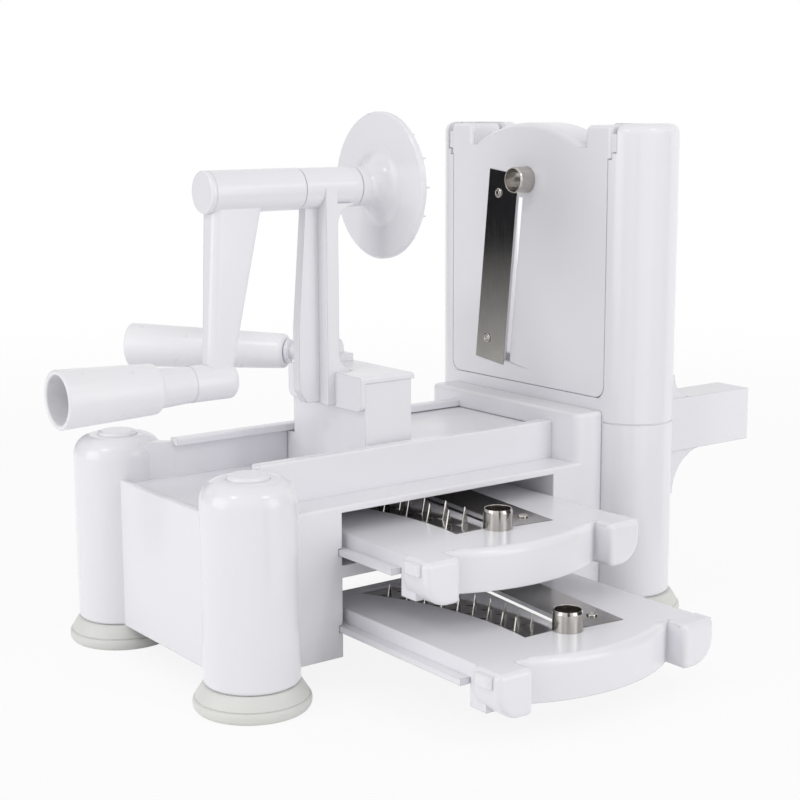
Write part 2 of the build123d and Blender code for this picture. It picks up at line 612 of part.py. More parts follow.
def crank_post():
    """T-section post with bearing tube, top cover, foot plate and the feed handle's boss."""
    cover_y = BOX_Y + COVER_WIDE
    cover_z0 = COVER_TOP - COVER_THICK
    cover = block(FOOT_PLATE_X0, BOX_X1 + COVER_WIDE, -cover_y, cover_y, cover_z0, COVER_TOP)
    rim = edges_at(cover, "Z", COVER_TOP).filter_by(lambda e: e.center().X > FOOT_PLATE_X0 + NEAR)
    cover = fillet(rim, COVER_ROUND)
    plate = block(FOOT_PLATE_X0, CARRIAGE_X0 - HAIR, -cover_y, cover_y, FOOT_PLATE_Z0, cover_z0 + OVER)
    low = plate.edges().filter_by(Axis.X).filter_by(lambda e: e.center().Z < FOOT_PLATE_Z0 + NEAR)
    post = cover + fillet(low, FOOT_PLATE_ROUND)
    post += block(FLANGE_X0, FLANGE_X1, -FLANGE_Y, FLANGE_Y, cover_z0, SHAFT_Z)
    post += prism_xz([(FLANGE_X0 + OVER, WEB_Z0), (WEB_X0_LOW + WEB_CUT, WEB_Z0),
                      (WEB_X0_LOW, WEB_Z0 + WEB_CUT_RISE), (WEB_X0_LOW, WEB_KNEE_Z),
                      (WEB_X0_HIGH, WEB_HIGH_Z), (WEB_X0_HIGH, SHAFT_Z), (FLANGE_X0 + OVER, SHAFT_Z)],
                     -WEB_Y, WEB_Y)
    post += block(FLANGE_X0, FOOT_PLATE_X0 + OVER, -FLANGE_Y, FLANGE_Y, FOOT_PLATE_Z0 + OVER, COVER_TOP)
    post += post_fillet(FLANGE_X1, COVER_TOP, 1)
    post += post_fillet(FLANGE_X1, SHAFT_Z - TUBE_R + TUBE_BITE, -1)
    post += rod_x(TUBE_X0, TUBE_X1, TUBE_R, 0, SHAFT_Z)
    post -= rod_x(TUBE_X0 - OVER, TUBE_X1 + OVER, TUBE_BORE_R, 0, SHAFT_Z)
    boss_in = Vector(HANDLE_X, HANDLE_Y, HANDLE_Z) - Vector(*HANDLE_DIR) * BOSS_LENGTH
    boss_plane = Plane(origin=boss_in, z_dir=HANDLE_DIR)
    boss = boss_plane.location * Pos(0, 0, BOSS_LENGTH / 2) * Cylinder(HANDLE_BOSS_R, BOSS_LENGTH)
    pedestal = block(boss_in.X - HANDLE_BOSS_R, boss_in.X + HANDLE_BOSS_R, boss_in.Y - PEDESTAL_BACK, cover_y - OVER,
                     COVER_TOP - OVER, HANDLE_Z)
    post += boss & block(FOOT_PLATE_X0, BOX_X1, 0, BODY_Y, cover_z0, HANDLE_Z + 2 * HANDLE_BOSS_R)
    post += pedestal & block(FLANGE_X1, BOX_X1 - BOX_ROUND, 0, cover_y - OVER, COVER_TOP - OVER, HANDLE_Z)
    post -= boss_plane.location * Pos(0, 0, BOSS_LENGTH - PIN_SEAT / 2) * Cylinder(HANDLE_PIN_R + RUN,
                                                                                     PIN_SEAT + 2 * HAIR)
    for y in POST_SCREW_Y:
        post -= rod_z(POST_SCREW_X, y, cover_z0 - OVER, cover_z0 + SCREW_BITE + HAIR, SCREW_R + RUN)
    return post


def post_fillet(x, z, up):
    """Concave web between the flange's back face and a level face, above it or below it."""
    size = POST_FILLET
    web = block(x - OVER, x + size, -FLANGE_Y, FLANGE_Y, min(z - up, z + up * size), max(z - up, z + up * size))
    return web - Pos(x + size, 0, z + up * size) * Rot(90, 0, 0) * Cylinder(size, 4 * FLANGE_Y)


def post_screws():
    """Screws from inside the box up into the post's cover."""
    top = COVER_TOP - COVER_THICK - HAIR
    group = []
    for y in POST_SCREW_Y:
        shank = rod_z(POST_SCREW_X, y, top - SLIDE_SKIN - OVER / 2, top + SCREW_BITE, SCREW_R)
        head = rod_z(POST_SCREW_X, y, top - SLIDE_SKIN - SCREW_HEAD, top - SLIDE_SKIN - HAIR, SCREW_HEAD_R)
        group.append(shank + head)
    return Compound(children=group)


# ---------------------------------------------------------------- grips
def grip(length, radius0, radius1, bore_r, pin_r):
    """Tapered hollow grip along +Z: turns on a pin at z = 0 and is open at its far end."""
    cone = Pos(0, 0, length / 2) * Cone(radius0, radius1, length)
    cone = fillet(edges_at(cone, "Z", length), GRIP_LIP_ROUND)
    cone = fillet(edges_at(cone, "Z", 0), GRIP_END_ROUND)
    cone -= Pos(0, 0, GRIP_WEB + (length - GRIP_WEB + OVER) / 2) * Cylinder(bore_r, length - GRIP_WEB + OVER)
    return cone - Pos(0, 0, GRIP_WEB / 2) * Cylinder(pin_r + RUN, GRIP_WEB + 2)


def grip_screw(pin_r, thread_depth):
    """Washer and pan head that keep a grip on its pin, along +Z from the grip's seat."""
    seat = GRIP_WEB + SEAT_STEP
    washer = Pos(0, 0, seat + WASHER_THICK / 2) * Cylinder(pin_r + COLLAR_STEP, WASHER_THICK)
    head_z = seat + WASHER_THICK
    head = Pos(0, 0, head_z + SCREW_HEAD / 2) * Cylinder(SCREW_HEAD_R, SCREW_HEAD)
    head = fillet(edges_at(head, "Z", head_z + SCREW_HEAD), SCREW_HEAD / 2)
    shank = Pos(0, 0, seat + OVER - thread_depth / 2) * Cylinder(SCREW_R - RUN, thread_depth)
    return washer + head + shank


def pin_end(pin_r, thread_depth):
    """End of a pin inside a grip, drilled for the grip's screw."""
    length = GRIP_WEB + PIN_STEP
    end = Pos(0, 0, length / 2) * Cylinder(pin_r, length)
    return end - Pos(0, 0, length - thread_depth / 2 + PLAY) * Cylinder(SCREW_R, thread_depth + OVER)


CRANK_GRIP_SEAT = Plane(origin=(GRIP_X1, 0, SHAFT_Z - CRANK_RADIUS), z_dir=(-1, 0, 0)).location
FEED_GRIP_SEAT = Plane(
    origin=(HANDLE_X + HANDLE_DIR[0] * HANDLE_PIN_OUT, HANDLE_Y + HANDLE_DIR[1] * HANDLE_PIN_OUT, HANDLE_Z),
    z_dir=HANDLE_DIR).location


def feed_pin():
    """Pin of the feed handle: seated in the post's boss, bare in the middle, grip at its end."""
    shoulder = PLAY
    bare = HANDLE_PIN_OUT + PIN_SEAT - shoulder
    rod = Pos(0, 0, -bare / 2 - shoulder) * Cylinder(HANDLE_PIN_R, bare)
    collar = Pos(0, 0, -shoulder - COLLAR_THICK / 2) * Cylinder(HANDLE_PIN_R + COLLAR_STEP, COLLAR_THICK)
    neck = Pos(0, 0, -shoulder / 2) * Cylinder(HANDLE_PIN_R - NECK_STEP, shoulder)
    return FEED_GRIP_SEAT * (rod + collar + neck + pin_end(HANDLE_PIN_R, THREAD_DEPTH))


# ---------------------------------------------------------------- crank
def crank_arm():
    """Hub, tapered arm, boss and the stem that the grip turns on, in one moulding."""
    low_z = SHAFT_Z - CRANK_RADIUS
    hub = rod_x(HUB_X0, HUB_X1, HUB_R, 0, SHAFT_Z)
    arm_x0 = HUB_X0 + ARM_TOP_SETBACK
    top = Pos((arm_x0 + ARM_TOP_X1) / 2, 0, SHAFT_Z) * Rectangle(ARM_TOP_X1 - arm_x0, 2 * ARM_TOP_Y)
    low = Pos((ARM_LOW_X0 + ARM_LOW_X1) / 2, 0, low_z) * Rectangle(ARM_LOW_X1 - ARM_LOW_X0, 2 * ARM_LOW_Y)
    arm = loft([low.face(), top.face()], ruled=True)
    middle_x = (ARM_LOW_X0 + ARM_LOW_X1 + arm_x0 + ARM_TOP_X1) / 4
    arm = fillet(long_edges(arm).filter_by(lambda e: e.center().X < middle_x), ARM_FRONT_ROUND)
    arm = fillet(long_edges(arm).filter_by(lambda e: e.center().X > middle_x), ARM_BACK_ROUND)
    boss = rod_x(BOSS_X0, BOSS_X1, BOSS_R, 0, low_z)
    boss = fillet(edges_at(boss, "X", BOSS_X1), BOSS_ROUND)
    stem = cone_x(STEM_X0, BOSS_X0 + OVER / 2, STEM_OUTER_R, BOSS_R - STEM_STEP, 0, low_z)
    crank = hub + arm + boss + stem
    crank -= rod_x(HUB_X0 - OVER, HUB_X1 + OVER, TUBE_BORE_R, 0, SHAFT_Z)
    neck = rod_x(GRIP_X1, STEM_X0 + OVER / 2, SPIGOT_R - NECK_STEP, 0, low_z)
    return crank + neck + CRANK_GRIP_SEAT * pin_end(SPIGOT_R, THREAD_DEPTH)


def long_edges(arm):
    """Edges that run the whole length of the arm."""
    return arm.edges().filter_by(lambda e: e.length > CRANK_RADIUS - NEAR)


def hub_cap():
    """Round cap that closes the hub's outer end."""
    cap = rod_x(HUB_X0 - HUB_CAP_THICK, HUB_X0 - HAIR, HUB_R, 0, SHAFT_Z)
    cap = fillet(edges_at(cap, "X", HUB_X0 - HUB_CAP_THICK), CAP_ROUND)
    return cap + rod_x(HUB_X0 - OVER / 2, HUB_X0 + CAP_PEG, SPINDLE_R, 0, SHAFT_Z)


def spindle():
    """Shaft from the crank hub through the bearing tube into the disc's hub."""
    bar = rod_x(HUB_X0 + CAP_PEG + PLAY, DISC_X0 - DISC_FLOOR, SPINDLE_R, 0, SHAFT_Z)
    return bar - rod_x(DISC_X0 - DISC_SCREW_IN - OVER, DISC_X0, SCREW_R + RUN, 0, SHAFT_Z)


def disc_screw():
    """Countersunk screw that holds the disc on the spindle."""
    face_x = DISC_X0 + DISC_THICK
    sunk = 2 * RUN
    head = cone_x(face_x - DISC_SINK, face_x - sunk, SCREW_R, SCREW_HEAD_R, 0, SHAFT_Z)
    return head + rod_x(DISC_X0 - DISC_SCREW_IN, face_x - DISC_SINK + sunk, SCREW_R, 0, SHAFT_Z)


def spike(radius, angle):
    """Cone that stands out of the disc's face."""
    y = radius * math.cos(angle)
    z = SHAFT_Z + radius * math.sin(angle)
    face_x = DISC_X0 + DISC_THICK
    return cone_x(face_x - OVER / 2, face_x + SPIKE_LENGTH, SPIKE_R, SPIKE_TIP_R, y, z)


def spiked_disc():
    """Thin disc on a trumpet-shaped hub, with two rings of spikes."""
    flare_x = DISC_X0 - DISC_HUB_X0
    face_x = flare_x + DISC_THICK
    neck_end = (flare_x * FLARE_START, DISC_NECK_R)
    flare_end = (flare_x, DISC_NECK_R + FLARE_OUT)
    profile = Polyline((0, 0), (0, DISC_NECK_R), neck_end)
    flare = ThreePointArc(neck_end, (flare_x * FLARE_MIDDLE, DISC_NECK_R + FLARE_MIDDLE_OUT), flare_end)
    rim = Polyline(flare_end, (flare_x, DISC_R - DISC_EDGE), (flare_x + DISC_EDGE, DISC_R),
                   (face_x - DISC_EDGE, DISC_R), (face_x, DISC_R - DISC_EDGE), (face_x, 0), (0, 0))
    disc = revolve(make_face(profile + flare + rim), Axis.X)
    disc = Pos(DISC_HUB_X0, 0, SHAFT_Z) * disc
    for i in range(SPIKE_COUNT):
        disc += spike(SPIKE_RING_R, 2 * math.pi * i / SPIKE_COUNT)
    for i in range(SPIKE_INNER_COUNT):
        disc += spike(SPIKE_INNER_RING_R, 2 * math.pi * (i + 0.5) / SPIKE_INNER_COUNT)
    face_x = DISC_X0 + DISC_THICK
    disc -= rod_x(DISC_HUB_X0 - OVER, DISC_X0 - DISC_FLOOR + SEAT_GAP, TUBE_BORE_R, 0, SHAFT_Z)
    disc -= rod_x(DISC_X0 - DISC_FLOOR - OVER, face_x + OVER, SCREW_R + RUN, 0, SHAFT_Z)
    return disc - cone_x(face_x - DISC_SINK - RUN, face_x + SEAT_GAP, SCREW_R + RUN,
                         SCREW_HEAD_R + 2 * SEAT_GAP, 0, SHAFT_Z)


# ---------------------------------------------------------------- cartridges
BLADE_FRAME = (Pos(BLADE_END_X, BLADE_END_Y, 0) * Rot(0, 0, -BLADE_TILT) * Pos(0, -BLADE_LENGTH / 2, 0))
RIVET_Y = BLADE_LENGTH / 2 - RIVET_FROM_END


def plate_outline():
    """Face of the cartridge: straight tail with round corners and an arched end."""
    half = WINDOW_Y - PLAY
    centre_y = ARCH_TOP - ARCH_R
    notch_y = centre_y + math.sqrt(ARCH_R ** 2 - ARCH_HALF ** 2)
    arch = ThreePointArc((ARCH_HALF, notch_y), (0, ARCH_TOP), (-ARCH_HALF, notch_y))
    sides = Polyline((-ARCH_HALF, notch_y), (-half, notch_y), (-half, -PLATE_TAIL), (half, -PLATE_TAIL),
                     (half, notch_y), (ARCH_HALF, notch_y))
    return make_face(arch + sides)


def ear(side):
    """Hook beside the arch that hangs in the column's top, its outer lower corner widely rounded."""
    inner = side * EAR_X0
    outer = side * EAR_X1
    tip = side * (EAR_X1 + EAR_TAB_OUT)
    bar = block(min(inner, outer), max(inner, outer), EAR_START, EAR_END, -EAR_DEPTH, 0)
    low = bar.edges().filter_by(Axis.Y).filter_by(lambda e: e.center().Z < -NEAR)
    bar = fillet(low.filter_by(lambda e: abs(e.center().X) > EAR_X1 - NEAR), EAR_CURVE)
    sharp = bar.edges().filter_by(Axis.Y)
    bar = fillet(sharp.filter_by(lambda e: abs(e.center().X) < EAR_X0 + HAIR or e.center().Z > -HAIR), EAR_ROUND)
    bar = fillet(edges_at(bar, "Y", EAR_END), EAR_ROUND)
    tab = block(min(inner, tip), max(inner, tip), EAR_TAB_START, EAR_TAB_END,
                -EAR_TAB_DROP - EAR_TAB_THICK, -EAR_TAB_DROP)
    corners = tab.edges().filter_by(lambda e: abs(e.center().X) > EAR_X1 + EAR_TAB_OUT / 2)
    return bar + fillet(corners, EAR_TAB_ROUND)


def cartridge_plate(comb):
    """White plate with tongue, deep arched end, ears, blade recess, slot and ramp."""
    outline = plate_outline()
    plate = extrude(outline, amount=-PLATE_THICK)
    tail = plate.edges().filter_by(Axis.Z).filter_by(lambda e: e.center().Y < -PLATE_TAIL + NEAR)
    plate = fillet(tail, PLATE_CORNER_R)
    cap = extrude(outline, amount=-END_CAP_DEPTH)
    cap &= block(-FACE_WIDE, FACE_WIDE, END_CAP_START, ARCH_TOP + OVER, -END_CAP_DEPTH - OVER, OVER)
    plate += cap
    crown = edges_at(plate, "Z", 0).filter_by(lambda e: e.center().Y > ARCH_TOP - ARCH_ROUND)
    plate = fillet(crown, ARCH_ROUND)
    plate -= block(-ARCH_HALF + OVER, ARCH_HALF - OVER, END_CAP_START + ARCH_WALL, ARCH_TOP - ARCH_BACK,
                   -END_CAP_DEPTH - OVER, -PLATE_SKIN - OVER)
    plate += ear(-1) + ear(1)
    plate += block(-TONGUE_Y, TONGUE_Y, -TONGUE_TAIL, TONGUE_SHORT, TONGUE_Z0, TONGUE_Z1 + HAIR)
    hollow_x = WINDOW_Y - PLAY - PLATE_RIM
    plate -= block(-hollow_x, hollow_x, -PLATE_TAIL + PLATE_RIM, END_CAP_START - ARCH_WALL,
                   TONGUE_Z0 - OVER, -PLATE_SKIN)
    plate += rod_z(0, 0, TONGUE_Z1, -OVER, RING_R + RING_BOSS)
    slot_y0 = -BLADE_LENGTH / 2 + SLOT_END
    slot_y1 = BLADE_LENGTH / 2 - RING_R - SLOT_FROM_RING
    slot_x1 = BLADE_WIDTH / 2 + SLOT_WIDTH
    plate += BLADE_FRAME * block(slot_x1 - OVER / 2, slot_x1 + PLATE_RIM, slot_y0, slot_y1, TONGUE_Z1, -OVER)
    if comb:
        plate += comb_band(COMB_WIDTH + 2 * PLATE_SKIN, COMB_Y0 - PLATE_SKIN, COMB_Y1,
                           TONGUE_Z1 + 2 * OVER, -OVER)
    plate -= BLADE_FRAME * blade_ramp(slot_y0, slot_y1)
    plate -= BLADE_FRAME * block(BLADE_WIDTH / 2 - SLOT_UNDER, slot_x1, slot_y0, slot_y1, TONGUE_Z0 - OVER, OVER)
    plate -= BLADE_FRAME * block(-BLADE_WIDTH / 2 - SEAT_GAP, BLADE_WIDTH / 2 + SEAT_GAP,
                                 -BLADE_LENGTH / 2 - SEAT_GAP, BLADE_LENGTH / 2 + SEAT_GAP,
                                 BLADE_PROUD - BLADE_THICK, OVER)
    for end in (-1, 1):
        plate -= BLADE_FRAME * rod_z(RIVET_X, end * RIVET_Y, TONGUE_Z0 - OVER, OVER, RIVET_R - RIVET_STEP)
    plate -= rod_z(0, 0, TONGUE_Z0 - OVER, OVER, RING_R + HAIR)
    if comb:
        plate -= comb_band(COMB_WIDTH + 2 * SEAT_GAP, COMB_Y0 - SEAT_GAP, COMB_Y1 + SEAT_GAP,
                           -COMB_SINK - COMB_THICK, OVER)
    return plate


def blade_ramp(y0, y1):
    """What is cut away beside the slot, so that the face rolls off towards the blade's edge."""
    x0 = BLADE_WIDTH / 2
    roll_r = (RAMP_WIDTH ** 2 + RAMP_DEPTH ** 2) / (2 * RAMP_DEPTH)
    middle_z = math.sqrt(roll_r ** 2 - (RAMP_WIDTH / 2) ** 2) - roll_r
    roll = ThreePointArc((x0, y0, -RAMP_DEPTH), (x0 + RAMP_WIDTH / 2, y0, middle_z), (x0 + RAMP_WIDTH, y0, 0))
    above = Polyline((x0 + RAMP_WIDTH, y0, 0), (x0 + RAMP_WIDTH, y0, OVER), (x0, y0, OVER),
                     (x0, y0, -RAMP_DEPTH))
    return extrude(make_face(roll + above), amount=y1 - y0, dir=(0, 1, 0))


def comb_band(width, y0, y1, z0, z1):
    """Slab along the comb's bent centre line."""
    centre = Pos(COMB_X + COMB_BEND_R, COMB_BEND_Y, (z0 + z1) / 2)
    band = Cylinder(COMB_BEND_R + width / 2, z1 - z0) - Cylinder(COMB_BEND_R - width / 2, z1 - z0)
    return (centre * band) & block(COMB_X - width, COMB_X + 3 * width, y0, y1, z0, z1)


def cartridge_blade():
    """Flat steel blade with a bevelled cutting edge over the slot."""
    x1 = BLADE_WIDTH / 2
    under = BLADE_PROUD - BLADE_THICK
    section = [(-x1, under), (x1 - BLADE_BEVEL, under), (x1, BLADE_PROUD - EDGE_THICK), (x1, BLADE_PROUD),
               (-x1, BLADE_PROUD)]
    blade = prism_xz(section, -BLADE_LENGTH / 2, BLADE_LENGTH / 2)
    for end in (-1, 1):
        blade -= rod_z(RIVET_X, end * RIVET_Y, -PLATE_SKIN, OVER, RIVET_R - RIVET_STEP)
    blade = BLADE_FRAME * blade
    return blade - rod_z(0, 0, -PLATE_SKIN, OVER, RING_R + PLAY)


def cartridge_rivets():
    """Two domed rivets through the blade and the plate."""
    group = []
    for end in (-1, 1):
        place = BLADE_FRAME * Pos(RIVET_X, end * RIVET_Y, BLADE_PROUD)
        shank = rod_z(0, 0, -BLADE_PROUD - PLATE_SKIN - OVER / 2, HAIR, RIVET_R - RIVET_STEP - RUN)
        head = rod_z(0, 0, HAIR / 2, RIVET_DOME, RIVET_R)
        head = fillet(edges_at(head, "Z", RIVET_DOME), RIVET_DOME * 0.8)
        group.append(place * (shank + head))
    return Compound(children=group)


def coring_ring():
    """Thin steel tube that stands out of the face and cuts the core."""
    tube = rod_z(0, 0, TONGUE_Z1, RING_HEIGHT, RING_R)
    bore = rod_z(0, 0, TONGUE_Z1 - OVER, RING_HEIGHT + OVER, RING_R - RING_WALL)
    return tube - bore


def tooth(width, height):
    """Thin triangular tooth with ground edges, standing on its comb."""
    base = -COMB_SINK - COMB_THICK / 2
    half = TOOTH_THICK / 2
    blade = prism_xz([(-width / 2, base), (width / 2, base), (0, height)], -half, half)
    slanted = blade.edges().filter_by(lambda e: e.length > height and abs(e.center().Y) > half / 2)
    return chamfer(slanted, half * TOOTH_GRIND)


def tooth_window(width, length):
    """Triangular window that the tooth was bent out of, its long side at the tooth's foot."""
    face = make_face(Polyline((-width / 2, 0), (width / 2, 0), (0, -length), close=True))
    return Pos(0, -TOOTH_THICK / 2, -COMB_SINK - COMB_THICK - OVER) * extrude(face, amount=COMB_THICK + 2 * OVER)


def comb_strip(row_gap, count, pitch, width, height):
    """Bent steel strip with two rows of triangular teeth."""
    strip = comb_band(COMB_WIDTH, COMB_Y0, COMB_Y1, -COMB_SINK - COMB_THICK, -COMB_SINK)
    places = []
    for offset in (-row_gap / 2, row_gap / 2):
        for i in range(count):
            y = TOOTH_FIRST_Y - i * pitch
            bend = COMB_BEND_R - math.sqrt(COMB_BEND_R ** 2 - (y - COMB_BEND_Y) ** 2)
            places.append(Pos(COMB_X + bend + offset, y, 0) * Rot(0, 0, TOOTH_TURN))
    window = tooth_window(width * WINDOW_SHARE, pitch * WINDOW_LENGTH)
    for place in places:
        strip -= place * window
    for place in places:
        strip += place * tooth(width, height)
    return strip - rod_z(0, 0, -COMB_SINK - COMB_THICK - OVER, OVER, RING_R + PLAY)


def mounted(shape):
    """Cartridge stood in the blade frame, face towards the disc."""
    return Plane(origin=(FRAME_X0, 0, SHAFT_Z), x_dir=(0, -1, 0), z_dir=(-1, 0, 0)).location * shape


def stored(shape, ring_y, face_z):
    """Cartridge lying in a bay, face up, arched end outwards."""
    return Pos(BAY_X, ring_y, face_z) * Rot(0, 0, 180) * shape


def place_group(shape, place):
    """Places each solid of a shape."""
    solids = shape.solids()
    if len(solids) == 1:
        return place(solids[0])
    return Compound(children=[place(s) for s in solids])


def write_cartridge(name, place, comb):
    """Writes the pieces of one cartridge."""
    pieces = {"plate": cartridge_plate(comb is not None), "blade": cartridge_blade(),
              "rivets": cartridge_rivets(), "coring_ring": coring_ring()}
    if comb is not None:
        pieces["comb"] = comb
    for piece, shape in pieces.items():
        write(f"{name}_{piece}", place_group(shape, place))


# ---------------------------------------------------------------- writing
CORNERS = {"crank_near": (0, -LEG_Y), "crank_far": (0, LEG_Y),
           "blade_near": (COLUMN_X, -LEG_Y), "blade_far": (COLUMN_X, LEG_Y)}

write("base_body", base_body())
write("blade_frame", blade_frame())
write("frame_screws", frame_screws())
for corner, (foot_x, foot_y) in CORNERS.items():
    write(f"suction_foot_{corner}", suction_foot(foot_x, foot_y))
write("foot_screws", Compound(children=[foot_screw(x, y) for x, y in CORNERS.values()]))
write("leg_cap_near", leg_cap(-LEG_Y))
write("leg_cap_far", leg_cap(LEG_Y))

write("carriage_slide", carriage_slide())
write("crank_post", crank_post())
write("post_screws", post_screws())
write("feed_pin", feed_pin())
write("feed_grip", FEED_GRIP_SEAT * grip(FEED_GRIP_LENGTH, FEED_GRIP_R0, FEED_GRIP_R1, FEED_GRIP_R0 - 1.6,
                                         HANDLE_PIN_R))
write("feed_grip_screw", FEED_GRIP_SEAT * grip_screw(HANDLE_PIN_R, THREAD_DEPTH))

write("crank_arm", crank_arm())
write("hub_cap", hub_cap())
write("spindle", spindle())
write("disc_screw", disc_screw())
write("spiked_disc", spiked_disc())
write("crank_grip", CRANK_GRIP_SEAT * grip(GRIP_LENGTH, GRIP_R0, GRIP_R1, GRIP_BORE_R, SPIGOT_R))
write("crank_grip_screw", CRANK_GRIP_SEAT * grip_screw(SPIGOT_R, THREAD_DEPTH))

write_cartridge("slicing", mounted, None)
write_cartridge("coarse", lambda s: stored(s, UPPER_RING_Y, UPPER_FACE_Z),
                comb_strip(COARSE_ROW_GAP, COARSE_TEETH, COARSE_PITCH, COARSE_TOOTH_WIDTH, COARSE_TOOTH_HEIGHT))
write_cartridge("fine", lambda s: stored(s, LOWER_RING_Y, LOWER_FACE_Z),
                comb_strip(FINE_ROW_GAP, FINE_TEETH, FINE_PITCH, FINE_TOOTH_WIDTH,
                           FINE_TOOTH_HEIGHT))
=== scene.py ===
import json
import math
from collections import namedtuple

import bmesh
import bpy
import numpy as np
from mathutils import Matrix, Vector

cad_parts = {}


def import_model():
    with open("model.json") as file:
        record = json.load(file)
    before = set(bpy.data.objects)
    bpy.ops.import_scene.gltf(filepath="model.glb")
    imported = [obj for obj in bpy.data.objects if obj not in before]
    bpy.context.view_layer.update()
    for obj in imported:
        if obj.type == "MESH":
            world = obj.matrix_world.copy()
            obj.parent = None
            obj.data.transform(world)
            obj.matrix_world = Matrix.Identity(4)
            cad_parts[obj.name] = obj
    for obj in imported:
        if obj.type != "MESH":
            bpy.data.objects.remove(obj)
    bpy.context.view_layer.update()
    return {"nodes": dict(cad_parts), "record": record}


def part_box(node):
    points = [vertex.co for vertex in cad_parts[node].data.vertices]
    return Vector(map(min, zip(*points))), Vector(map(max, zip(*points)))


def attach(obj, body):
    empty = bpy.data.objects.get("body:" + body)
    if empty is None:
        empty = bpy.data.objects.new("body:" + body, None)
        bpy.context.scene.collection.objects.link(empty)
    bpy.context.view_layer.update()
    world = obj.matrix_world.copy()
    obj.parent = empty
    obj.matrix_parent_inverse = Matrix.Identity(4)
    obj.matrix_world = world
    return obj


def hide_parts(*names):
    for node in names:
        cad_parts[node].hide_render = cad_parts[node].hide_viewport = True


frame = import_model()
nodes = frame["nodes"]
behaviour = frame["record"]["behaviour"]
joints = {joint["name"]: joint for joint in behaviour["joints"]}
body_names = {node: body for body, members in behaviour["bodies"].items() for node in members}
MM = 0.001


# ---------------------------------------------------------------- shader maths
# Places of the colour sockets on a Mix node.
MIX_A, MIX_B, MIX_RESULT = 6, 7, 2


class Sock:
    """A shader socket on which arithmetic adds Math nodes."""

    def __init__(self, graph, out):
        self.graph = graph
        self.out = out

    def math(self, operation, *others):
        return self.graph.add("ShaderNodeMath", {"operation": operation}, self, *others)

    def __add__(self, other):
        return self.math("ADD", other)

    def __mul__(self, other):
        return self.math("MULTIPLY", other)

    __radd__ = __add__
    __rmul__ = __mul__


class Graph:
    """A node tree to which one method adds every kind of node."""

    def __init__(self, tree):
        self.tree = tree

    def link(self, value, socket):
        """Lead another socket's value into this one, or set it to a constant."""
        if isinstance(value, Sock):
            self.tree.links.new(value.out, socket)
        else:
            socket.default_value = value

    def add(self, kind, settings, *values, out=0, **named):
        """A node of a type: its settings first, then its sockets by order or by name."""
        node = self.tree.nodes.new(kind)
        for key, value in settings.items():
            setattr(node, key, value)
        for place, value in enumerate(values):
            self.link(value, node.inputs[place])
        for key, value in named.items():
            self.link(value, node.inputs[key])
        return Sock(self, node.outputs[out])


class Shader(Graph):
    """One material's node tree, with its Principled shader ready."""

    def __init__(self, name):
        self.material = bpy.data.materials.new(name)
        self.material.use_nodes = True
        super().__init__(self.material.node_tree)
        self.skin = self.tree.nodes["Principled BSDF"]
        self.place = self.add("ShaderNodeTexCoord", {}, out="Object")

    def set(self, **sockets):
        """Feed the Principled shader's sockets, with _ for a space in a name."""
        for key, value in sockets.items():
            self.link(value, self.skin.inputs[key.replace("_", " ")])

    def noise(self, scale, detail, at=None):
        """Noise of a scale in features per metre, at the object's own place or at another one."""
        return self.add("ShaderNodeTexNoise", {}, Vector=at or self.place, Scale=scale,
                        Detail=detail, out="Fac")

    def bump(self, height, distance, strength, normal=None):
        """Normal of a height from 0 to 1 over a distance in metres, on top of another normal."""
        under = {} if normal is None else {"Normal": normal}
        return self.add("ShaderNodeBump", {}, Strength=strength, Distance=distance,
                        Height=height, out="Normal", **under)

    def edge_softness(self, radius):
        """Normal that rounds a moulding's sharp edges by a radius in metres."""
        return self.add("ShaderNodeBevel", {"samples": 6}, radius, out="Normal")

    def mix(self, factor, colour_a, colour_b):
        """Colour a where the factor is 0, going to colour b where it is 1."""
        blend = self.add("ShaderNodeMix", {"data_type": "RGBA"}, factor, out=MIX_RESULT)
        sockets = blend.out.node.inputs
        self.link(colour_a, sockets[MIX_A])
        self.link(colour_b, sockets[MIX_B])
        return blend


# ---------------------------------------------------------------- finishes
# Colours at the dark and at the bright end of each finish's own variation.
WHITE_LOW = (0.815, 0.808, 0.846, 1)
WHITE_HIGH = (0.85, 0.845, 0.878, 1)
GRIP_LOW = (0.83, 0.828, 0.858, 1)
GRIP_HIGH = (0.87, 0.868, 0.888, 1)
RUBBER_LOW = (0.68, 0.685, 0.655, 1)
RUBBER_HIGH = (0.76, 0.765, 0.735, 1)
STEEL_DARK = (0.30, 0.29, 0.275, 1)
STEEL_BRIGHT = (0.52, 0.505, 0.48, 1)
RING_DARK = (0.38, 0.36, 0.335, 1)
RING_BRIGHT = (0.66, 0.635, 0.60, 1)
PLASTIC_IOR = 1.5


def moulded_white():
    """Glossy white moulded plastic: soft edges, sink waviness, faint tone drift and fine dust."""
    s = Shader("white_plastic")
    drift = s.noise(9.0, 3.0)
    haze = s.noise(60.0, 4.0)
    sinks = s.noise(35.0, 1.0)
    dust = s.noise(1400.0, 2.0)
    waves = s.bump(sinks, 0.4 * MM, 0.12, s.edge_softness(0.8 * MM))
    s.set(Base_Color=s.mix(drift, WHITE_LOW, WHITE_HIGH), Roughness=0.16 + 0.1 * haze,
          IOR=PLASTIC_IOR, Normal=s.bump(dust, 0.02 * MM, 0.25, waves))
    return s.material


def handle_white():
    """The grips' plastic, a touch more satin, with fine moulding grain."""
    s = Shader("handle_white")
    drift = s.noise(14.0, 3.0)
    haze = s.noise(90.0, 3.0)
    grain = s.noise(900.0, 3.0)
    s.set(Base_Color=s.mix(drift, GRIP_LOW, GRIP_HIGH), Roughness=0.24 + 0.1 * haze,
          IOR=PLASTIC_IOR, Normal=s.bump(grain, 0.03 * MM, 0.3, s.edge_softness(0.6 * MM)))
    return s.material


